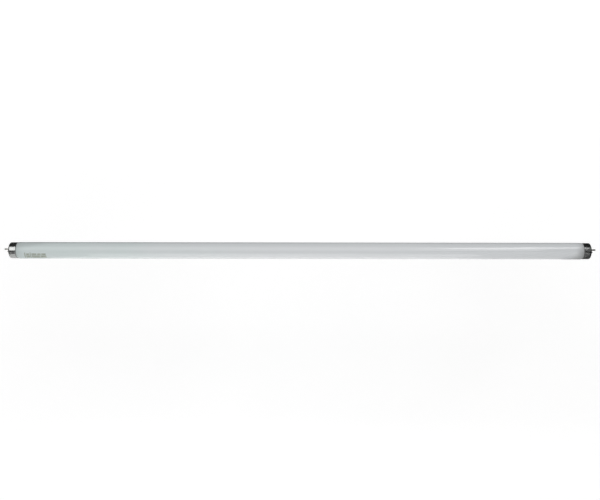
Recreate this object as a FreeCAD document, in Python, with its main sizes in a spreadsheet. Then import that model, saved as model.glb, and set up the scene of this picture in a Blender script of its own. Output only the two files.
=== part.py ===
import FreeCAD, Part
import math
import os
import Sketcher

# A straight tubular fluorescent lamp with a two-pin cap at each end.
# Frame: origin at the middle of the tube's axis, +X along the tube, +Z up, pins one above the other.
# Each end piece is drawn in an end frame: its X is the depth inward from the base face, which is
# the flat end plane of the cap where the pins start.

SIZES = {
    # whole lamp
    "base_face_length": 894.6,
    # glass tube and its necked ends
    "glass_od": 25.6,
    "glass_wall": 0.6,
    "neck_step": 1.1,
    "rim_depth": 4.5,
    "neck_setback": 2.4,
    "shoulder_length": 7.0,
    # stem: the re-entrant flare, its tube and the flat press that seals it
    "flare_wall": 0.9,
    "stem_od": 10.0,
    "stem_length": 8.5,
    "press_length": 8.0,
    "press_taper": 3.5,
    "press_thickness": 3.4,
    # exhaust tube, tipped off inside the cap
    "exhaust_od": 4.4,
    "exhaust_wall": 0.8,
    "exhaust_tip_gap": 1.4,
    "port_diameter": 2.2,
    "port_reach": 2.6,
    # drawn cap shell, with its end curled inward round the opening
    "cap_wall": 0.3,
    "cap_length": 11.2,
    "cap_shoulder_radius": 2.3,
    "cap_land_width": 0.5,
    "lip_radius": 0.6,
    "lip_depth": 0.9,
    # stakes punched inward from the shell, which hold the plate from behind
    "stake_count": 4,
    "stake_angle": 14.0,
    "stake_depth": 0.5,
    "stake_ramp": 1.4,
    # moulded insulator plate
    "plate_recess": 0.3,
    "plate_land": 0.5,
    "plate_clearance": 0.25,
    # contact pins
    "pin_spacing": 12.7,
    "pin_diameter": 2.35,
    "pin_length": 7.1,
    "pin_tip_radius": 0.7,
    "collar_diameter": 3.4,
    "shank_diameter": 1.95,
    "pin_bore": 1.3,
    "rivet_diameter": 3.6,
    "rivet_thickness": 0.35,
    "rivet_flare": 0.25,
    "crimp_position": 2.4,
    "crimp_grip": 1.0,
    "crimp_depth": 0.28,
    "crimp_tool_radius": 1.2,
    # lead wires
    "wire_diameter": 0.6,
    "wire_seal_length": 6.0,
    "wire_lead": 0.45,
    "wire_bend_length": 4.0,
    # basing cement between the neck and the shell
    "cement_thickness": 0.4,
    "cement_setback": 1.0,
}

doc = FreeCAD.newDocument("tube_lamp")
V = FreeCAD.Vector


class Size:
    """A length: its value now, and the formula on the spreadsheet's cells that keeps it bound."""

    def __init__(self, value, formula):
        self.value = float(value)
        self.formula = formula

    def join(self, other, sign, result):
        return Size(result, f"({self.formula} {sign} {other.formula})")

    def __add__(self, other):
        other = as_size(other)
        return self.join(other, "+", self.value + other.value)

    def __sub__(self, other):
        other = as_size(other)
        return self.join(other, "-", self.value - other.value)

    def __mul__(self, other):
        other = as_size(other)
        return self.join(other, "*", self.value * other.value)

    def __truediv__(self, other):
        other = as_size(other)
        return self.join(other, "/", self.value / other.value)

    def __neg__(self):
        return NOUGHT - self


def as_size(number):
    return number if isinstance(number, Size) else Size(number, repr(float(number)))


NOUGHT = as_size(0)


def make_sheet():
    """Write the driving sizes in a spreadsheet, one alias a row, and return them by name."""
    sheet = doc.addObject("Spreadsheet::Sheet", "dims")
    named = {}
    for row, (name, number) in enumerate(SIZES.items(), 1):
        sheet.set(f"A{row}", name)
        sheet.set(f"B{row}", str(number))
        sheet.setAlias(f"B{row}", name)
        named[name] = Size(number, f"dims.{name}")
    doc.recompute()
    return named


size = make_sheet()


def new_body(name):
    body = doc.addObject("PartDesign::Body", name)
    body.Label = name
    return body


def origin_feature(body, role):
    return next(part for part in body.Origin.OriginFeatures if part.Role == role)


def new_sketch(body, name, plane, offset=NOUGHT):
    """A sketch on one of the body's own origin planes, moved along the plane's normal by offset."""
    sketch = body.newObject("Sketcher::SketchObject", name)
    sketch.AttachmentSupport = [(origin_feature(body, plane), "")]
    sketch.MapMode = "FlatFace"
    if offset is not NOUGHT:
        sketch.setExpression("AttachmentOffset.Base.z", offset.formula)
    return sketch


def pin_point(sketch, element, end, place):
    """Hold one point of the sketch at a place given by two sizes."""
    for kind, distance in zip(("DistanceX", "DistanceY"), place):
        index = sketch.addConstraint(Sketcher.Constraint(kind, -1, 1, element, end, distance.value))
        sketch.setExpression(f"Constraints[{index}]", distance.formula)


def bulged(start, end, radius, side):
    """The arc from start to end whose centre lies to the left (side 1) or right (side -1). It is stored
    counterclockwise, so it starts at its own start on the left side and at its end on the right."""
    a, b = V(start[0].value, start[1].value), V(end[0].value, end[1].value)
    half = (b - a).Length / 2
    along = (b - a).normalize()
    left = V(-along.y, along.x)
    centre = (a + b) / 2 + left * math.sqrt(max(radius.value ** 2 - half ** 2, 0)) * side
    first, last = (a - centre, b - centre) if side > 0 else (b - centre, a - centre)
    begin = math.atan2(first.y, first.x)
    finish = math.atan2(last.y, last.x)
    if finish < begin:
        finish += math.tau
    return Part.ArcOfCircle(Part.Circle(centre, V(0, 0, 1), radius.value), begin, finish)


def draw(sketch, corners, arcs=None, closed=True):
    """Draw the outline through the corners. arcs gives, for the edge that leaves a corner, its radius
    and the side of its centre; every other edge is straight."""
    arcs = arcs or {}
    count = len(corners)
    edges = count if closed else count - 1
    ends = []
    for index in range(edges):
        start, end = corners[index], corners[(index + 1) % count]
        if index in arcs:
            radius, side = arcs[index]
            element = sketch.addGeometry(bulged(start, end, radius, side), False)
            ends.append((element, 1, 2) if side > 0 else (element, 2, 1))
        else:
            a, b = V(start[0].value, start[1].value), V(end[0].value, end[1].value)
            element = sketch.addGeometry(Part.LineSegment(a, b), False)
            ends.append((element, 1, 2))
    for index in range(edges if closed else edges - 1):
        element, _, last = ends[index]
        follower, first, _ = ends[(index + 1) % edges]
        sketch.addConstraint(Sketcher.Constraint("Coincident", element, last, follower, first))
    for index in range(edges):
        pin_point(sketch, ends[index][0], ends[index][1], corners[index])
    if not closed:
        pin_point(sketch, ends[-1][0], ends[-1][2], corners[-1])
    for index, (radius, _) in arcs.items():
        held = sketch.addConstraint(Sketcher.Constraint("Radius", ends[index][0], radius.value))
        sketch.setExpression(f"Constraints[{held}]", radius.formula)


def draw_circle(sketch, centre, radius):
    middle = V(centre[0].value, centre[1].value)
    element = sketch.addGeometry(Part.Circle(middle, V(0, 0, 1), radius.value), False)
    pin_point(sketch, element, 3, centre)
    held = sketch.addConstraint(Sketcher.Constraint("Radius", element, radius.value))
    sketch.setExpression(f"Constraints[{held}]", radius.formula)


def s_bend_radius(length, drop):
    """The radius of two equal arcs that together step sideways by drop over length, both ends straight."""
    return (length * length + drop * drop) / (drop * 4)


def revolve(body, name, sketch, cut=False, angle=None):
    """Turn a profile about the body's X axis: a full turn, or an arc of angle centred on the sketch."""
    kind = "PartDesign::Groove" if cut else "PartDesign::Revolution"
    feature = body.newObject(kind, name)
    feature.Profile = sketch
    feature.ReferenceAxis = (sketch, ["H_Axis"])
    feature.Angle = 360
    if angle is not None:
        feature.Midplane = True
        feature.setExpression("Angle", angle.formula)
    doc.recompute()
    return feature


def pocket(body, name, sketch, length, midplane=False, reverse=False):
    feature = body.newObject("PartDesign::Pocket", name)
    feature.Profile = sketch
    feature.Midplane = midplane
    feature.Reversed = reverse
    feature.setExpression("Length", length.formula)
    doc.recompute()
    return feature


# Places that several pieces share, as depths from the base face and radii from the lamp's axis
glass_radius = size["glass_od"] / 2
neck_radius = glass_radius - size["neck_step"]
neck_inside = neck_radius - size["glass_wall"]
neck_end = size["cap_length"] - size["neck_setback"]
shoulder_end = neck_end + size["shoulder_length"]
stem_radius = size["stem_od"] / 2
flare_inner_radius = neck_inside - stem_radius
flare_outer_radius = flare_inner_radius + size["flare_wall"]
flare_centre_depth = size["rim_depth"] + flare_outer_radius
stem_bore_radius = stem_radius - size["flare_wall"]
press_start = flare_centre_depth + size["stem_length"]
press_end = press_start + size["press_length"]
exhaust_radius = size["exhaust_od"] / 2
wire_offset = (stem_bore_radius + exhaust_radius) / 2
cap_inside = neck_radius + size["cement_thickness"]
cap_radius = cap_inside + size["cap_wall"]
land_outer = cap_radius - size["cap_shoulder_radius"]
land_inner = land_outer - size["cap_land_width"]
opening_radius = land_inner - size["lip_radius"]
plate_back = size["cap_shoulder_radius"] + size["plate_land"]
plate_radius = cap_inside - size["plate_clearance"]
rivet_back = plate_back + size["rivet_thickness"]
wire_radius = size["wire_diameter"] / 2
wire_reach = size["crimp_position"] + size["crimp_grip"] / 2
half_length = size["base_face_length"] / 2


def from_middle(depth):
    """The X of a depth at the left end, seen from the middle of the lamp."""
    return depth - half_length


def glass_outline(body):
    """Outside of the glass from the middle of the lamp to the stem's outer face, turned about X."""
    drop = glass_radius - neck_radius
    step = s_bend_radius(size["shoulder_length"], drop)
    middle = (neck_end + shoulder_end) / 2
    rim_start = size["rim_depth"] + size["glass_wall"]
    corners = [
        (NOUGHT, NOUGHT),
        (NOUGHT, glass_radius),
        (from_middle(shoulder_end), glass_radius),
        (from_middle(middle), (glass_radius + neck_radius) / 2),
        (from_middle(neck_end), neck_radius),
        (from_middle(rim_start), neck_radius),
        (from_middle(size["rim_depth"]), neck_inside),
        (from_middle(flare_centre_depth), stem_bore_radius),
        (from_middle(press_start), stem_bore_radius),
        (from_middle(press_start), NOUGHT),
    ]
    arcs = {2: (step, 1), 3: (step, -1), 5: (size["glass_wall"], 1), 6: (flare_outer_radius, 1)}
    sketch = new_sketch(body, "glass_outline", "XY_Plane")
    draw(sketch, corners, arcs)
    return revolve(body, "glass_outside", sketch)


def glass_hollow(body):
    """The sealed space inside the glass, down to the stem's outside and the end of the press."""
    inside = glass_radius - size["glass_wall"]
    step = s_bend_radius(size["shoulder_length"], inside - neck_inside)
    middle = (neck_end + shoulder_end) / 2
    seam = flare_centre_depth - flare_inner_radius
    corners = [
        (NOUGHT, NOUGHT),
        (NOUGHT, inside),
        (from_middle(shoulder_end), inside),
        (from_middle(middle), (inside + neck_inside) / 2),
        (from_middle(neck_end), neck_inside),
        (from_middle(seam), neck_inside),
        (from_middle(flare_centre_depth), stem_radius),
        (from_middle(press_end), stem_radius),
        (from_middle(press_end), NOUGHT),
    ]
    arcs = {2: (step, 1), 3: (step, -1), 5: (flare_inner_radius, 1)}
    sketch = new_sketch(body, "hollow_outline", "XY_Plane")
    draw(sketch, corners, arcs)
    return revolve(body, "glass_inside", sketch, cut=True)


def press_flats(body):
    """Squeeze the end of the stem flat: a taper and a flat face on each side."""
    sketch = new_sketch(body, "press_sides", "XY_Plane")
    half = size["press_thickness"] / 2
    past = press_end + half
    clear = stem_radius + size["flare_wall"]
    for side in (1, -1):
        corners = [
            (from_middle(press_start), stem_radius * side),
            (from_middle(press_start + size["press_taper"]), half * side),
            (from_middle(past), half * side),
            (from_middle(past), clear * side),
            (from_middle(press_start), clear * side),
        ]
        draw(sketch, corners)
    return pocket(body, "press_flats", sketch, clear * 2, midplane=True)


def exhaust_tube(body):
    """The tube left from pumping: fused to the press, closed to a round tip inside the cap."""
    radius = exhaust_radius
    bore = radius - size["exhaust_wall"]
    tip = plate_back + size["exhaust_tip_gap"]
    outline = [
        (from_middle(press_start), NOUGHT),
        (from_middle(tip), NOUGHT),
        (from_middle(tip + radius), radius),
        (from_middle(press_start), radius),
    ]
    outside = new_sketch(body, "exhaust_outline", "XY_Plane")
    draw(outside, outline, {1: (radius, -1)})
    tube = revolve(body, "exhaust_tube", outside)
    channel = [
        (from_middle(press_start + size["port_reach"]), NOUGHT),
        (from_middle(tip + size["exhaust_wall"]), NOUGHT),
        (from_middle(tip + radius), bore),
        (from_middle(press_start + size["port_reach"]), bore),
    ]
    inside = new_sketch(body, "exhaust_channel", "XY_Plane")
    draw(inside, channel, {1: (bore, -1)})
    return [tube, revolve(body, "exhaust_bore", inside, cut=True)]


def exhaust_port(body):
    """The opening in one side of the press, from the exhaust tube's bore to the inside of the lamp."""
    radius = size["port_diameter"] / 2
    sketch = new_sketch(body, "port_outline", "XZ_Plane")
    draw_circle(sketch, (from_middle(press_start + size["port_reach"] - radius), NOUGHT), radius)
    return pocket(body, "exhaust_port", sketch, stem_radius)


def wire_seals(body):
    """Two holes in the press, filled by the lead wires that are sealed there."""
    sketch = new_sketch(body, "seal_outlines", "YZ_Plane", from_middle(press_start))
    for side in (1, -1):
        draw_circle(sketch, (NOUGHT, wire_offset * side), wire_radius)
    return pocket(body, "wire_seals", sketch, size["wire_seal_length"], reverse=True)


def make_glass():
    """Draw the left half with its stem, then mirror it in the middle plane."""
    body = new_body("glass_envelope")
    features = [glass_outline(body), glass_hollow(body), press_flats(body)]
    features += exhaust_tube(body)
    features += [exhaust_port(body), wire_seals(body)]
    mirror = body.newObject("PartDesign::Mirrored", "right_half")
    mirror.Originals = features
    mirror.MirrorPlane = (origin_feature(body, "YZ_Plane"), [""])
    body.Tip = mirror
    doc.recompute()
    return body


def shell_profile(body):
    """Wall of the drawn shell: skirt, rounded shoulder, flat land and the lip curled inward."""
    wall = size["cap_wall"]
    shoulder = size["cap_shoulder_radius"]
    lip = size["lip_radius"]
    corners = [
        (size["cap_length"], cap_radius),
        (shoulder, cap_radius),
        (NOUGHT, land_outer),
        (NOUGHT, land_inner),
        (lip, opening_radius),
        (size["lip_depth"], opening_radius),
        (size["lip_depth"], opening_radius + wall),
        (lip, opening_radius + wall),
        (wall, land_inner),
        (wall, land_outer),
        (shoulder, cap_inside),
        (size["cap_length"], cap_inside),
    ]
    arcs = {1: (shoulder, 1), 3: (lip, 1), 7: (lip - wall, -1), 9: (shoulder - wall, -1)}
    sketch = new_sketch(body, "shell_section", "XY_Plane")
    draw(sketch, corners, arcs)
    return revolve(body, "drawn_shell", sketch)


def shell_stakes(body):
    """Tongues pushed inward through the depth of the wall, with a ramp toward the skirt."""
    wall = size["cap_wall"]
    crest = plate_back + wall
    foot = crest + size["stake_ramp"]
    inner = [
        (plate_back, cap_radius - wall / 2),
        (plate_back, cap_inside - size["stake_depth"]),
        (crest, cap_inside - size["stake_depth"]),
        (foot, cap_inside),
        (foot, cap_radius - wall / 2),
    ]
    outer = [
        (crest, cap_radius),
        (crest, cap_radius - size["stake_depth"]),
        (foot, cap_radius),
    ]
    wall_angle = Size(math.degrees(1), repr(math.degrees(1))) * wall / cap_radius
    turn = Size(180, "180") / size["stake_count"]
    features = []
    for name, corners, cut, angle in (
        ("stake", inner, False, size["stake_angle"]),
        ("stake_dent", outer, True, size["stake_angle"] - wall_angle * 2),
    ):
        sketch = new_sketch(body, f"{name}_section", "XY_Plane")
        sketch.AttachmentOffset = FreeCAD.Placement(V(), FreeCAD.Rotation(V(1, 0, 0), turn.value))
        sketch.setExpression("AttachmentOffset.Rotation.Angle", turn.formula)
        draw(sketch, corners)
        features.append(revolve(body, name, sketch, cut, angle))
    ring = body.newObject("PartDesign::PolarPattern", "stakes")
    ring.Originals = features
    ring.Axis = (origin_feature(body, "X_Axis"), [""])
    ring.Angle = 360
    ring.setExpression("Occurrences", size["stake_count"].formula)
    body.Tip = ring
    doc.recompute()


def make_shell(name):
    body = new_body(name)
    shell_profile(body)
    shell_stakes(body)
    return body


def make_plate(name):
    """Moulded plate: a boss in the shell's opening, a flange behind the lip, and a hole for each pin."""
    body = new_body(name)
    bevel = size["cap_shoulder_radius"] - size["lip_depth"]
    corners = [
        (size["plate_recess"], NOUGHT),
        (size["plate_recess"], opening_radius),
        (size["lip_depth"], opening_radius),
        (size["lip_depth"], plate_radius - bevel),
        (size["cap_shoulder_radius"], plate_radius),
        (plate_back, plate_radius),
        (plate_back, NOUGHT),
    ]
    section = new_sketch(body, "plate_section", "XY_Plane")
    draw(section, corners)
    revolve(body, "plate", section)
    holes = new_sketch(body, "pin_hole_outlines", "YZ_Plane")
    for side in (1, -1):
        draw_circle(holes, (NOUGHT, size["pin_spacing"] * side / 2), size["shank_diameter"] / 2)
    pocket(body, "pin_holes", holes, plate_back, reverse=True)
    return body


def make_pin(name):
    """Hollow pin: round tip, collar on the plate, necked shank, riveted flare and two crimp dents."""
    body = new_body(name)
    radius = size["pin_diameter"] / 2
    tip = size["pin_tip_radius"]
    collar = size["collar_diameter"] / 2
    shank = size["shank_diameter"] / 2
    rivet = size["rivet_diameter"] / 2
    bore = size["pin_bore"] / 2
    bore_end = size["crimp_position"] - size["crimp_grip"] / 2
    corners = [
        (-size["pin_length"], NOUGHT),
        (-size["pin_length"], radius - tip),
        (tip - size["pin_length"], radius),
        (NOUGHT, radius),
        (NOUGHT, collar),
        (size["plate_recess"], collar),
        (size["plate_recess"], shank),
        (plate_back, shank),
        (plate_back, rivet),
        (rivet_back, rivet),
        (rivet_back, bore + size["rivet_flare"]),
        (plate_back, bore),
        (-bore_end, bore),
        (-bore_end, wire_radius),
        (-wire_reach, wire_radius),
        (-wire_reach, NOUGHT),
    ]
    section = new_sketch(body, "pin_section", "XY_Plane")
    draw(section, corners, {1: (tip, -1)})
    revolve(body, "pin", section)
    tool = size["crimp_tool_radius"]
    dents = new_sketch(body, "crimp_outlines", "XY_Plane")
    for side in (1, -1):
        height = (radius + tool - size["crimp_depth"]) * side
        draw_circle(dents, (-size["crimp_position"], height), tool)
    pocket(body, "crimp_dents", dents, size["pin_diameter"] * 2, midplane=True)
    return body


def make_cement(name):
    """Ring of cement between the neck of the glass and the inside of the shell's skirt."""
    body = new_body(name)
    start = size["rim_depth"] + size["cement_setback"]
    corners = [
        (start, neck_radius),
        (start, cap_inside),
        (neck_end, cap_inside),
        (neck_end, neck_radius),
    ]
    section = new_sketch(body, "cement_section", "XY_Plane")
    draw(section, corners)
    revolve(body, "cement", section)
    return body


def make_wire(name):
    """Lead wire: sealed in the press, out through the stem, bent outward and up into its pin."""
    body = new_body(name)
    seal_end = press_start + size["wire_seal_length"]
    pin_offset = size["pin_spacing"] / 2
    bend_end = rivet_back + size["wire_lead"]
    bend_start = bend_end + size["wire_bend_length"]
    bend = s_bend_radius(size["wire_bend_length"], pin_offset - wire_offset)
    route = [
        (seal_end, wire_offset),
        (bend_start, wire_offset),
        ((bend_start + bend_end) / 2, (wire_offset + pin_offset) / 2),
        (bend_end, pin_offset),
        (-wire_reach, pin_offset),
    ]
    path = new_sketch(body, "wire_route", "XZ_Plane")
    draw(path, route, {1: (bend, -1), 2: (bend, 1)}, closed=False)
    section = new_sketch(body, "wire_section", "YZ_Plane", seal_end)
    draw_circle(section, (NOUGHT, wire_offset), wire_radius)
    wire = body.newObject("PartDesign::AdditivePipe", "wire")
    wire.Profile = section
    wire.Spine = (path, [f"Edge{index + 1}" for index in range(len(route) - 1)])
    doc.recompute()
    return body


def place(body, side, offset=NOUGHT, flipped=False):
    """Stand an end piece at its base face: side -1 is the left end as drawn, and side 1 is the same
    piece turned half round Z. A flipped piece is turned half round X first."""
    half_turn = FreeCAD.Rotation(V(0, 0, 1), 180 if side > 0 else 0)
    flip = FreeCAD.Rotation(V(1, 0, 0), 180 if flipped else 0)
    base = V(half_length.value * side, 0, offset.value)
    body.Placement = FreeCAD.Placement(base, half_turn.multiply(flip))
    body.setExpression("Placement.Base.x", (half_length * side).formula)
    body.setExpression("Placement.Base.z", offset.formula)
    return body


def make_end(name, side):
    """All pieces of one end of the lamp."""
    parts = [
        place(make_shell(f"cap_shell_{name}"), side),
        place(make_plate(f"insulator_plate_{name}"), side),
        place(make_cement(f"basing_cement_{name}"), side),
    ]
    for level, way in (("upper", 1), ("lower", -1)):
        offset = size["pin_spacing"] * way / 2
        parts.append(place(make_pin(f"contact_pin_{name}_{level}"), side, offset))
        parts.append(place(make_wire(f"lead_wire_{name}_{level}"), side, flipped=way < 0))
    return parts


def check_document(parts):
    """Stop before anything is written if a feature failed or a piece isn't one valid solid."""
    for item in doc.Objects:
        failed = {"Invalid", "Error"} & set(item.State)
        if failed:
            raise RuntimeError(f"{item.Label}: {sorted(failed)}")
    for part in parts:
        shape = part.Shape
        if shape.isNull() or not shape.isValid() or len(shape.Solids) != 1:
            raise RuntimeError(f"{part.Label} isn't one valid solid")


def export(parts):
    os.makedirs("parts", exist_ok=True)
    for part in parts:
        part.Shape.exportStep(os.path.join("parts", f"{part.Label}.step"))
        print(f"{part.Label}: {part.Shape.Volume:.2f} mm3")


def main():
    parts = [make_glass()]
    for name, side in (("left", -1), ("right", 1)):
        parts += make_end(name, side)
    doc.recompute()
    check_document(parts)
    export(parts)


main()
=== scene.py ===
import math

import bmesh
import bpy
from mathutils import Matrix, Vector


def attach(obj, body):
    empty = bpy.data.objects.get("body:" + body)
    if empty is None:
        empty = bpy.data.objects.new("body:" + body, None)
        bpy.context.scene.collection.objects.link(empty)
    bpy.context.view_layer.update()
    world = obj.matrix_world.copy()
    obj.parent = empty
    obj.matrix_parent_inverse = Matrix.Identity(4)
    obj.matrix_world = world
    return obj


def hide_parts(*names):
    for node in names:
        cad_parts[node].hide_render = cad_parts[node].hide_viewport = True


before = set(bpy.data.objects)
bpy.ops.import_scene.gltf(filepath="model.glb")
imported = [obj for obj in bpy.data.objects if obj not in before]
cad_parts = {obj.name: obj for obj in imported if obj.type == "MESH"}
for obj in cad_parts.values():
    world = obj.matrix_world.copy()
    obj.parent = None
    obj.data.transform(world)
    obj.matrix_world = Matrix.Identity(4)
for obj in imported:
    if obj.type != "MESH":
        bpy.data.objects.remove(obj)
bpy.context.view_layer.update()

MM = 0.001

# The lamp's sizes in mm, as in the CAD source. Depths run inward from the base face of a cap.
HALF_LENGTH = 447.3
GLASS_RADIUS = 12.8
NECK_RADIUS = 11.7
NECK_END = 8.8
SHOULDER_END = 15.8
RIM_DEPTH = 4.5
GLASS_WALL = 0.6
STEM_BORE_RADIUS = 4.1
FLARE_RADIUS = 7.0
STEM_LENGTH = 8.5
EXHAUST_RADIUS = 2.2
EXHAUST_TIP = 4.2
CAP_LENGTH = 11.2

# How finely the glass is turned: round the axis, along the barrel, and over each bend of its outline
ROUND_STEPS = 160
BARREL_RINGS = 28
SHOULDER_STEPS = 7
FLARE_STEPS = 14
TIP_STEPS = 6

# A point of an outline nearer to the axis than this, in mm, becomes a single pole
POLE_RADIUS = 1e-6

# Edges sharper than this, in degrees, stay sharp in the shading
SHARP_ANGLE = 40.0

# A generic stamp near the left end, as plain bars: place along X in mm, width, and place and height
# round the glass in degrees below the camera's line of sight
STAMP_START = -422.5
STAMP_BARS = (
    (0.0, 1.6, 16.0, 44.0),
    (3.0, 4.6, 22.0, 13.0),
    (8.6, 1.5, 15.0, 45.0),
    (11.2, 7.4, 22.0, 13.0),
    (19.8, 5.2, 22.0, 13.0),
    (26.2, 6.6, 22.0, 13.0),
    (2.6, 5.4, 38.0, 22.0),
    (11.0, 12.4, 38.0, 22.0),
    (24.2, 9.0, 38.0, 22.0),
)

# How far a bar stands out of the glass and reaches into it, in mm, and its steps round the glass
STAMP_LIFT = 0.02
STAMP_SINK = 0.05
BAR_STEPS = 20

# All colours are linear red, green and blue, and a share is how much of one is mixed in at most.
# The glass turns from its left to its right colour between two places in metres, which a slow noise
# shifts by up to the drift.
COAT_LEFT = (0.545, 0.621, 0.612)
COAT_RIGHT = (0.606, 0.623, 0.638)
COAT_TURN = (-0.20, 0.15)
COAT_DRIFT = 0.5
COAT_GRAIN = (0.47, 0.49, 0.49)
GRAIN_SHARE = 0.12

# Dark at the glass's ends: blackening of use, and painted shade where a row leans, on the near side
# of the right end and on the far side of the left end. Columns: which end (1 is right, -1 is left), how
# much farther in it reaches for each metre toward the far side, where it starts and is full on the
# middle line, in metres from the lamp's middle, and its share there. A noise shifts it by up to the
# cloud.
END_DARKS_AND_PAINTED_SHADE = (
    (1.0, -0.45, (0.4240, 0.4500), 0.66),
    (-1.0, 0.0, (0.4200, 0.4560), 0.18),
    (-1.0, 5.0, (0.4150, 0.4550), 0.18),
)
# The colour of the end blackening and of its painted shade
END_DARK_AND_SHADE_COLOUR = (0.165, 0.163, 0.160)
END_CLOUD = 0.010

# A painted shade line round the mouth of a cap, the shade of the gap between cap and glass, with
# grime: where it starts and is full, in mm from the cap's edge
MOUTH_SHADE_LINE = (1.2, 0.3)
MOUTH_SHADE_COLOUR = (0.045, 0.045, 0.042)
MOUTH_SHADE_SHARE = 0.85

# The two colours that each cap's and pin's metal varies between. The right ones are darker
# copies of the left: painted shade, with a little tarnish on the right cap.
CAP_COLOURS_RIGHT_SHADED = {
    "left": ((0.62, 0.63, 0.62), (0.50, 0.51, 0.50)),
    "right": ((0.42, 0.42, 0.42), (0.28, 0.28, 0.28)),
}
PIN_COLOURS_RIGHT_SHADED = {
    "left": ((0.44, 0.43, 0.40), (0.56, 0.55, 0.52)),
    "right": ((0.08, 0.076, 0.070), (0.16, 0.152, 0.14)),
}

# Specks on the caps, flecks of filler in the plates, stains on the pins, and how much of a cap's
# roughness comes from its rings and not from its dull patches
CAP_SPECK = (0.20, 0.19, 0.17)
SPECK_SHARE = 0.35
FILLER_FLECK = (0.42, 0.30, 0.19)
FLECK_SHARE = 0.5
PIN_STAIN = (0.22, 0.19, 0.14)
STAIN_SHARE = 0.4
RING_SHARE = 0.4

# The two colours that each of the other finishes varies between
PHENOLIC = ((0.10, 0.055, 0.030), (0.20, 0.115, 0.065))
CEMENT = ((0.40, 0.34, 0.25), (0.60, 0.54, 0.43))
WIRE = ((0.50, 0.47, 0.43), (0.68, 0.66, 0.63))
INK = ((0.24, 0.27, 0.22), (0.40, 0.43, 0.38))
PAPER = ((0.80, 0.80, 0.80), (0.84, 0.84, 0.84))
WHITE = (1.0, 1.0, 1.0)

# The part of a noise's range that most of its values lie in, and how much its finer steps count
USUAL = (0.2, 0.8)
NOISE_ROUGHNESS = 0.55

# The photograph's view: how far the camera stands from the tube's axis and how high round it, its
# lens and roll, and how far it is raised across its line of sight
CAMERA_DISTANCE = 1.2
CAMERA_ELEVATION = 74.0
CAMERA_LENS = 46.56
CAMERA_ROLL = 0.09
CAMERA_RAISE = 0.00115
CAMERA_CLIP = (0.01, 100.0)

# The floor, and its own light where it is seen: between these distances from the middle of the stage
# it rises between these levels, as the lamps' light falls
FLOOR_LEVEL = -0.35
FLOOR_HALF = 8.0
GLOW_REACH = (0.45, 1.9)
GLOW_LEVELS = (0.29, 0.72)

# Dark and pale cards that show only in the gloss of metal and glass. A bent card has its range in X,
# its elevations round the lamp's axis (0 is in front, 90 above), its distance and its shade.
BENT_CARDS = {
    "far_card": ((-0.75, 0.75), (132.0, 258.0), 0.34, 0.04),
    "near_left_card": ((-0.75, -0.548), (20.0, 68.0), 0.33, 0.01),
    "low_left_card": ((-0.75, -0.500), (-100.0, 20.0), 0.33, 0.92),
    "near_right_card": ((0.548, 0.75), (0.0, 68.0), 0.33, 0.04),
    "low_right_card": ((0.515, 0.75), (-100.0, 0.0), 0.33, 0.14),
    "top_right_card": ((0.548, 0.75), (68.0, 132.0), 0.33, 0.28),
    "top_card": ((-1.6, 1.6), (60.0, 134.0), 1.70, 0.02),
}
CARD_STEPS = 12

# An upright card stands across the lamp's axis: its X and its shade, and the ranges that all share
UPRIGHT_CARDS = {"left_card": (-0.75, 0.16), "right_card": (0.75, 0.04)}
UPRIGHT_Y = (-0.60, 0.40)
UPRIGHT_Z = (-0.35, 0.45)

# Soft boxes: middle, width, height, the point that each one faces, and power
SOFT_BOXES = {
    "overhead": ((-0.25, 0.222, 1.4835), 2.2, 1.50, (-0.25, 0.0, 0.0), 13.8),
    "highlight": ((0.77, 0.586, 1.38), 0.36, 0.85, (0.34, 0.0, 0.0), 3.3),
    "front": ((-0.05, -1.18, 0.15), 1.2, 0.87, (-0.05, 0.0, 0.0), 4.6),
    "low_front": ((-0.08, -0.575, -0.33), 0.9, 0.65, (-0.08, -0.575, 0.0), 2.1),
    "rear": ((0.06, 1.08, 0.52), 1.3, 0.87, (0.06, 0.0, 0.0), 1.9),
}

# The background is white where it is seen, and lights the stage softly at this strength
SOFT_LEVEL = 0.385
SEEN_LEVEL = 1.0


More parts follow.
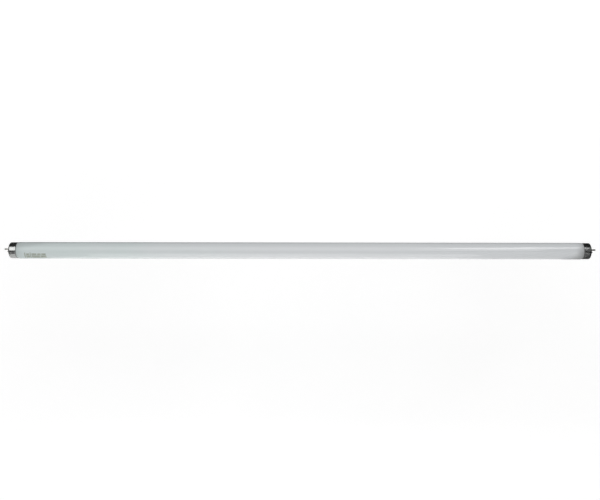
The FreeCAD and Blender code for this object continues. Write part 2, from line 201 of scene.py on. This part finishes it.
class Shader:
    """The node tree of a material or a world. Each call adds nodes, with inputs set or linked."""

    def __init__(self, owner):
        self.owner = owner
        self.owner.use_nodes = True
        self.tree = owner.node_tree
        self.tree.nodes.clear()

    def add(self, kind, inputs=None, **settings):
        node = self.tree.nodes.new(kind)
        for key, value in settings.items():
            setattr(node, key, value)
        for key, value in (inputs or {}).items():
            if isinstance(value, bpy.types.NodeSocket):
                self.tree.links.new(value, node.inputs[key])
            elif node.inputs[key].type == "RGBA":
                node.inputs[key].default_value = (*value, 1.0)
            else:
                node.inputs[key].default_value = value
        return node

    def math(self, operation, *values):
        return self.add("ShaderNodeMath", dict(enumerate(values)), operation=operation).outputs[0]

    def ramp(self, value, over, to=(0.0, 1.0)):
        """A smooth step of value: to[0] up to over[0], and to[1] from over[1] on."""
        inputs = {"Value": value}
        inputs.update({"From Min": over[0], "From Max": over[1], "To Min": to[0], "To Max": to[1]})
        return self.add("ShaderNodeMapRange", inputs, interpolation_type="SMOOTHSTEP").outputs["Result"]

    def mix(self, share, first, second):
        inputs = {0: share, 6: first, 7: second}
        return self.add("ShaderNodeMix", inputs, data_type="RGBA").outputs[2]

    def spot(self):
        """The point's place in the frame."""
        return self.add("ShaderNodeTexCoord").outputs["Object"]

    def noise(self, spot, scale, detail):
        inputs = {"Vector": spot, "Scale": scale, "Detail": detail, "Roughness": NOISE_ROUGHNESS}
        return self.add("ShaderNodeTexNoise", inputs).outputs["Fac"]

    def streaks(self, spot, along, across, detail):
        """A noise with one scale along the lamp and another across it."""
        stretched = self.add("ShaderNodeMapping", {"Vector": spot, "Scale": (along, across, across)})
        return self.noise(stretched.outputs["Vector"], 1.0, detail)

    def bump(self, height, strength, distance):
        inputs = {"Height": height, "Strength": strength, "Distance": distance}
        return self.add("ShaderNodeBump", inputs).outputs["Normal"]

    def seen_rays(self):
        """1 for rays from the camera, a mirror reflection or clear glass, and 0 for soft light."""
        rays = self.add("ShaderNodeLightPath").outputs
        seen = self.math("MAXIMUM", rays["Is Camera Ray"], rays["Is Glossy Ray"])
        return self.math("MAXIMUM", seen, rays["Is Transmission Ray"])

    def finish(self, surface, output="ShaderNodeOutputMaterial"):
        end = self.add(output)
        self.tree.links.new(surface.outputs[0], end.inputs["Surface"])
        return self.owner

    def principled(self, inputs):
        return self.finish(self.add("ShaderNodeBsdfPrincipled", inputs))


def new_look(name):
    return Shader(bpy.data.materials.new(name))


def glass_material():
    """White phosphor under clear glass: faint tint, a glossy coat, ends blackened by use with painted
    shade leaning over them, and a painted shade ring with grime where the glass meets each cap.
    """
    look = new_look("glass_look")
    spot = look.spot()
    parts = look.add("ShaderNodeSeparateXYZ", {"Vector": spot}).outputs
    along, across = parts["X"], parts["Y"]
    drift = look.math("MULTIPLY", look.streaks(spot, along=6.0, across=18.0, detail=2.0), COAT_DRIFT)
    tint = look.ramp(look.math("ADD", along, drift), over=COAT_TURN)
    grain = look.streaks(spot, along=60.0, across=420.0, detail=4.0)
    clean = look.mix(tint, COAT_LEFT, COAT_RIGHT)
    coated = look.mix(look.math("MULTIPLY", grain, GRAIN_SHARE), clean, COAT_GRAIN)

    cloud = look.math("MULTIPLY", look.noise(spot, scale=95.0, detail=3.0), END_CLOUD)
    # Blackening of use at the ends, with painted shade on the side each row leans to
    end_dark_and_shade = 0.0
    for end, shade_lean, reach, share in END_DARKS_AND_PAINTED_SHADE:
        outward = look.math("MULTIPLY_ADD", along, end, cloud)
        leaning = look.math("MULTIPLY_ADD", across, shade_lean, outward)
        end_dark_and_shade = look.math("MULTIPLY_ADD", look.ramp(leaning, over=reach), share, end_dark_and_shade)
    used_and_shaded = look.mix(end_dark_and_shade, coated, END_DARK_AND_SHADE_COLOUR)

    # Painted shade of the gap, with grime, on the glass just outside each cap's mouth
    line = [(HALF_LENGTH - CAP_LENGTH - inward) * MM for inward in MOUTH_SHADE_LINE]
    mouth_shade = look.ramp(look.math("ABSOLUTE", along), over=line)
    smear = look.streaks(spot, along=22.0, across=70.0, detail=5.0)
    wave = look.streaks(spot, along=16.0, across=55.0, detail=1.0)
    return look.principled({
        "Base Color": look.mix(look.math("MULTIPLY", mouth_shade, MOUTH_SHADE_SHARE), used_and_shaded, MOUTH_SHADE_COLOUR),
        "Roughness": look.ramp(smear, over=(0.30, 0.75), to=(0.38, 0.56)),
        "Specular IOR Level": 0.3,
        "Coat Weight": 1.0,
        "Coat Roughness": 0.05,
        "Coat IOR": 1.5,
        "Normal": look.bump(wave, strength=0.12, distance=0.0006),
    })


def cap_material(side):
    """Drawn aluminium: rings left by the tool, dull patches, and specks of dirt."""
    look = new_look("cap_look_" + side)
    spot = look.spot()
    rings = look.streaks(spot, along=5200.0, across=60.0, detail=2.0)
    dull = look.ramp(look.noise(spot, scale=260.0, detail=4.0), over=(0.42, 0.72))
    speck = look.ramp(look.noise(spot, scale=1500.0, detail=2.0), over=(0.66, 0.74))
    # The right cap's colours are darker, as painted shade with a little tarnish
    clean = look.mix(dull, *CAP_COLOURS_RIGHT_SHADED[side])
    matt = look.math("MULTIPLY_ADD", rings, RING_SHARE, look.math("MULTIPLY", dull, 1.0 - RING_SHARE))
    return look.principled({
        "Base Color": look.mix(look.math("MULTIPLY", speck, SPECK_SHARE), clean, CAP_SPECK),
        "Metallic": 1.0,
        "Roughness": look.ramp(matt, over=(0.1, 0.9), to=(0.10, 0.30)),
        "Normal": look.bump(rings, strength=0.10, distance=0.00004),
    })


def pin_material(side):
    """Dull nickel over brass, with rings where the contacts of a holder have rubbed."""
    look = new_look("pin_look_" + side)
    spot = look.spot()
    rub = look.streaks(spot, along=3000.0, across=300.0, detail=3.0)
    stain = look.ramp(look.noise(spot, scale=620.0, detail=4.0), over=(0.45, 0.70))
    # The right pin's colours are darker, as painted shade
    clean = look.mix(rub, *PIN_COLOURS_RIGHT_SHADED[side])
    return look.principled({
        "Base Color": look.mix(look.math("MULTIPLY", stain, STAIN_SHARE), clean, PIN_STAIN),
        "Metallic": 1.0,
        "Roughness": look.ramp(rub, over=USUAL, to=(0.26, 0.44)),
        "Normal": look.bump(rub, strength=0.15, distance=0.00003),
    })


def insulator_material():
    """Moulded brown phenolic with pale flecks of filler."""
    look = new_look("insulator_look")
    spot = look.spot()
    cloud = look.noise(spot, scale=420.0, detail=5.0)
    fleck = look.ramp(look.noise(spot, scale=2600.0, detail=2.0), over=(0.62, 0.70))
    pitted = look.noise(spot, scale=1900.0, detail=3.0)
    body = look.mix(cloud, *PHENOLIC)
    return look.principled({
        "Base Color": look.mix(look.math("MULTIPLY", fleck, FLECK_SHARE), body, FILLER_FLECK),
        "Roughness": look.ramp(cloud, over=USUAL, to=(0.38, 0.58)),
        "Normal": look.bump(pitted, strength=0.18, distance=0.00004),
    })


def cement_material():
    """Baked basing cement, rough and speckled."""
    look = new_look("cement_look")
    lump = look.noise(look.spot(), scale=900.0, detail=5.0)
    return look.principled({
        "Base Color": look.mix(lump, *CEMENT),
        "Roughness": look.ramp(lump, over=USUAL, to=(0.78, 0.95)),
        "Normal": look.bump(lump, strength=0.5, distance=0.00015),
    })


def wire_material():
    """Bare drawn wire, with die lines along it."""
    look = new_look("wire_look")
    lines = look.streaks(look.spot(), along=90.0, across=5200.0, detail=2.0)
    return look.principled({
        "Base Color": look.mix(lines, *WIRE),
        "Metallic": 1.0,
        "Roughness": look.ramp(lines, over=USUAL, to=(0.22, 0.38)),
        "Normal": look.bump(lines, strength=0.2, distance=0.00002),
    })


def ink_material():
    """Grey-green stamping ink, thin and worn, so that the glass shows through as a paler grey."""
    look = new_look("ink_look")
    worn = look.ramp(look.noise(look.spot(), scale=900.0, detail=4.0), over=(0.35, 0.65))
    return look.principled({
        "Base Color": look.mix(worn, *INK),
        "Roughness": look.ramp(worn, over=(0.0, 1.0), to=(0.45, 0.65)),
        "Normal": look.bump(worn, strength=0.2, distance=0.00002),
    })


def dress(piece, material):
    piece.data.materials.clear()
    piece.data.materials.append(material)


def dress_nodes():
    """Give every carried-over CAD node its own finish."""
    looks = {
        "insulator_plate": insulator_material(),
        "basing_cement": cement_material(),
        "lead_wire": wire_material(),
    }
    for side in ("left", "right"):
        looks["cap_shell_" + side] = cap_material(side)
        looks["contact_pin_" + side] = pin_material(side)
    for name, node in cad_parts.items():
        for start, material in looks.items():
            if name.startswith(start):
                dress(node, material)


def piece_from(name, mesh):
    """Make an object of a finished mesh, smooth but for its sharp edges."""
    data = bpy.data.meshes.new(name)
    mesh.to_mesh(data)
    mesh.free()
    data.shade_smooth()
    data.set_sharp_from_angle(angle=math.radians(SHARP_ANGLE))
    piece = bpy.data.objects.new(name, data)
    bpy.context.scene.collection.objects.link(piece)
    return piece


def arc(centre, radius, start, end, steps):
    """Points of an arc in the plane of depth and radius. Angles are in degrees from depth's axis."""
    points = []
    for step in range(steps + 1):
        angle = math.radians(start + (end - start) * step / steps)
        points.append((centre[0] + radius * math.cos(angle), centre[1] + radius * math.sin(angle)))
    return points


def end_outline():
    """Outside of one end of the glass: shoulder, neck, rim, flare, stem and exhaust tube, from the
    barrel to the tip, as depth and radius in mm."""
    # The shoulder is two equal arcs that meet midway: convex by the barrel, concave by the neck
    length = SHOULDER_END - NECK_END
    drop = GLASS_RADIUS - NECK_RADIUS
    bend = (length * length + drop * drop) / (drop * 4)
    sweep = math.degrees(math.asin(length / 2 / bend))
    barrel_side = arc((SHOULDER_END, GLASS_RADIUS - bend), bend, 90, 90 + sweep, SHOULDER_STEPS)
    neck_side = arc((NECK_END, NECK_RADIUS + bend), bend, sweep - 90, -90, SHOULDER_STEPS)
    rim = arc((RIM_DEPTH + GLASS_WALL, NECK_RADIUS - GLASS_WALL), GLASS_WALL, 90, 180, TIP_STEPS)
    flare_centre = RIM_DEPTH + FLARE_RADIUS
    flare = arc((flare_centre, NECK_RADIUS - GLASS_WALL), FLARE_RADIUS, 180, 270, FLARE_STEPS)
    recess_floor = flare_centre + STEM_LENGTH
    stem = [(recess_floor, STEM_BORE_RADIUS), (recess_floor, EXHAUST_RADIUS)]
    nose = arc((EXHAUST_TIP + EXHAUST_RADIUS, 0.0), EXHAUST_RADIUS, 90, 180, TIP_STEPS)
    return barrel_side + neck_side[1:] + rim + flare[1:] + stem + nose


def turn_about_x(name, outline, steps):
    """Turn an outline of X and radius in mm about the lamp's axis into a closed mesh."""
    mesh = bmesh.new()
    rings = []
    for x, radius in outline:
        if radius < POLE_RADIUS:
            rings.append([mesh.verts.new((x * MM, 0, 0))])
            continue
        ring = []
        for step in range(steps):
            angle = math.tau * step / steps
            y = radius * MM * math.sin(angle)
            z = radius * MM * math.cos(angle)
            ring.append(mesh.verts.new((x * MM, y, z)))
        rings.append(ring)
    for first, second in zip(rings, rings[1:]):
        for step in range(steps):
            after = (step + 1) % steps
            if len(first) == 1:
                mesh.faces.new((first[0], second[after], second[step]))
            elif len(second) == 1:
                mesh.faces.new((first[step], first[after], second[0]))
            else:
                mesh.faces.new((first[step], first[after], second[after], second[step]))
    bmesh.ops.recalc_face_normals(mesh, faces=mesh.faces)
    return piece_from(name, mesh)


def make_glass():
    """The sealed glass, turned more finely than its CAD mesh."""
    end = [(HALF_LENGTH - depth, radius) for depth, radius in end_outline()]
    straight = HALF_LENGTH - SHOULDER_END
    barrel = []
    for ring in range(1, BARREL_RINGS):
        barrel.append((straight * (1 - 2 * ring / BARREL_RINGS), GLASS_RADIUS))
    left = [(-x, radius) for x, radius in reversed(end)]
    tube = turn_about_x("glass_tube", end[::-1] + barrel + left[::-1], ROUND_STEPS)
    dress(tube, glass_material())
    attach(tube, "root")
    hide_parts("glass_envelope")


def bar_column(mesh, x_range, angle):
    """The four corners of one section of a bar, at an angle round the glass from the top."""
    column = []
    for x in x_range:
        for radius in (GLASS_RADIUS - STAMP_SINK, GLASS_RADIUS + STAMP_LIFT):
            y = -radius * MM * math.sin(angle)
            z = radius * MM * math.cos(angle)
            column.append(mesh.verts.new((x * MM, y, z)))
    return column


def make_stamp():
    """Thin curved slabs of ink on the glass."""
    mesh = bmesh.new()
    view = math.radians(90.0 - CAMERA_ELEVATION)
    for offset, width, start, height in STAMP_BARS:
        x_range = (STAMP_START + offset, STAMP_START + offset + width)
        columns = []
        for step in range(BAR_STEPS + 1):
            angle = view + math.radians(start + height * step / BAR_STEPS)
            columns.append(bar_column(mesh, x_range, angle))
        for first, second in zip(columns, columns[1:]):
            for a, b in ((0, 1), (1, 3), (3, 2), (2, 0)):
                mesh.faces.new((first[a], first[b], second[b], second[a]))
        for column in (columns[0], columns[-1]):
            mesh.faces.new((column[0], column[1], column[3], column[2]))
    bmesh.ops.recalc_face_normals(mesh, faces=mesh.faces)
    stamp = piece_from("stamp_bars", mesh)
    dress(stamp, ink_material())
    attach(stamp, "root")


def sheet(name, rows):
    """A stage piece: a surface through rows of two points each."""
    mesh = bmesh.new()
    lines = [[mesh.verts.new(point) for point in row] for row in rows]
    for first, second in zip(lines, lines[1:]):
        mesh.faces.new((first[0], first[1], second[1], second[0]))
    board = piece_from(name, mesh)
    return board


def make_floor():
    """Pale paper that also glows where it is seen, so that it is evenly white but for the shadow."""
    span = (-FLOOR_HALF, FLOOR_HALF)
    floor = sheet("floor", [[(x, y, FLOOR_LEVEL) for x in span] for y in span])
    look = new_look("floor_look")
    spot = look.spot()
    paper = look.mix(look.noise(spot, scale=3.0, detail=3.0), *PAPER)
    matt = look.add("ShaderNodeBsdfDiffuse", {"Color": paper})
    reach = look.add("ShaderNodeVectorMath", {0: spot}, operation="LENGTH").outputs["Value"]
    level = look.math("MULTIPLY", look.seen_rays(), look.ramp(reach, over=GLOW_REACH, to=GLOW_LEVELS))
    glow = look.add("ShaderNodeEmission", {"Strength": level})
    dress(floor, look.finish(look.add("ShaderNodeAddShader", {0: matt.outputs[0], 1: glow.outputs[0]})))


def felt_card(name, rows, shade):
    """A card of plain felt that shows only in gloss."""
    card = sheet(name, rows)
    look = new_look(name + "_look")
    dress(card, look.finish(look.add("ShaderNodeBsdfDiffuse", {"Color": (shade, shade, shade)})))
    card.visible_camera = False
    card.visible_diffuse = False
    card.visible_shadow = False


def bent_rows(x_range, elevations, distance):
    """Rows of a card bent round the lamp's axis."""
    rows = []
    for step in range(CARD_STEPS + 1):
        angle = math.radians(elevations[0] + (elevations[1] - elevations[0]) * step / CARD_STEPS)
        rows.append([(x, -distance * math.cos(angle), distance * math.sin(angle)) for x in x_range])
    return rows


def make_light(name, middle, width, height, aim, power):
    """A soft box that the camera doesn't see, turned to aim."""
    data = bpy.data.lights.new(name, "AREA")
    data.shape = "RECTANGLE"
    data.size = width
    data.size_y = height
    data.energy = power
    lamp = bpy.data.objects.new(name, data)
    lamp.location = middle
    lamp.rotation_mode = "QUATERNION"
    lamp.rotation_quaternion = (Vector(aim) - Vector(middle)).to_track_quat("-Z", "Y")
    lamp.visible_camera = False
    bpy.context.scene.collection.objects.link(lamp)


def make_world():
    """White where it is seen, and a plain soft light everywhere else."""
    look = Shader(bpy.data.worlds.new("studio"))
    level = look.ramp(look.seen_rays(), over=(0.0, 1.0), to=(SOFT_LEVEL, SEEN_LEVEL))
    background = look.add("ShaderNodeBackground", {"Color": WHITE, "Strength": level})
    bpy.context.scene.world = look.finish(background, "ShaderNodeOutputWorld")


def make_stage():
    """The floor, the cards, the soft boxes and the background."""
    make_floor()
    for name, (x_range, elevations, distance, shade) in BENT_CARDS.items():
        felt_card(name, bent_rows(x_range, elevations, distance), shade)
    for name, (x, shade) in UPRIGHT_CARDS.items():
        felt_card(name, [[(x, y, z) for y in UPRIGHT_Y] for z in UPRIGHT_Z], shade)
    for name, box in SOFT_BOXES.items():
        make_light(name, *box)
    make_world()


def make_camera():
    """The photograph's camera: above the lamp's front, turned to its middle, with a small roll."""
    data = bpy.data.cameras.new("photo_camera")
    data.lens = CAMERA_LENS
    data.clip_start, data.clip_end = CAMERA_CLIP
    camera = bpy.data.objects.new("photo_camera", data)
    angle = math.radians(CAMERA_ELEVATION)
    back = Vector((0.0, -math.cos(angle), math.sin(angle)))
    image_up = Vector((0.0, math.sin(angle), math.cos(angle)))
    camera.location = back * CAMERA_DISTANCE + image_up * CAMERA_RAISE
    camera.rotation_mode = "QUATERNION"
    level = (-back).to_track_quat("-Z", "Y")
    roll = Matrix.Rotation(math.radians(CAMERA_ROLL), 4, "Z").to_quaternion()
    camera.rotation_quaternion = level @ roll
    bpy.context.scene.collection.objects.link(camera)
    bpy.context.scene.camera = camera


make_camera()
make_glass()
make_stamp()
dress_nodes()
make_stage()
bpy.context.scene.view_settings.view_transform = "Standard"
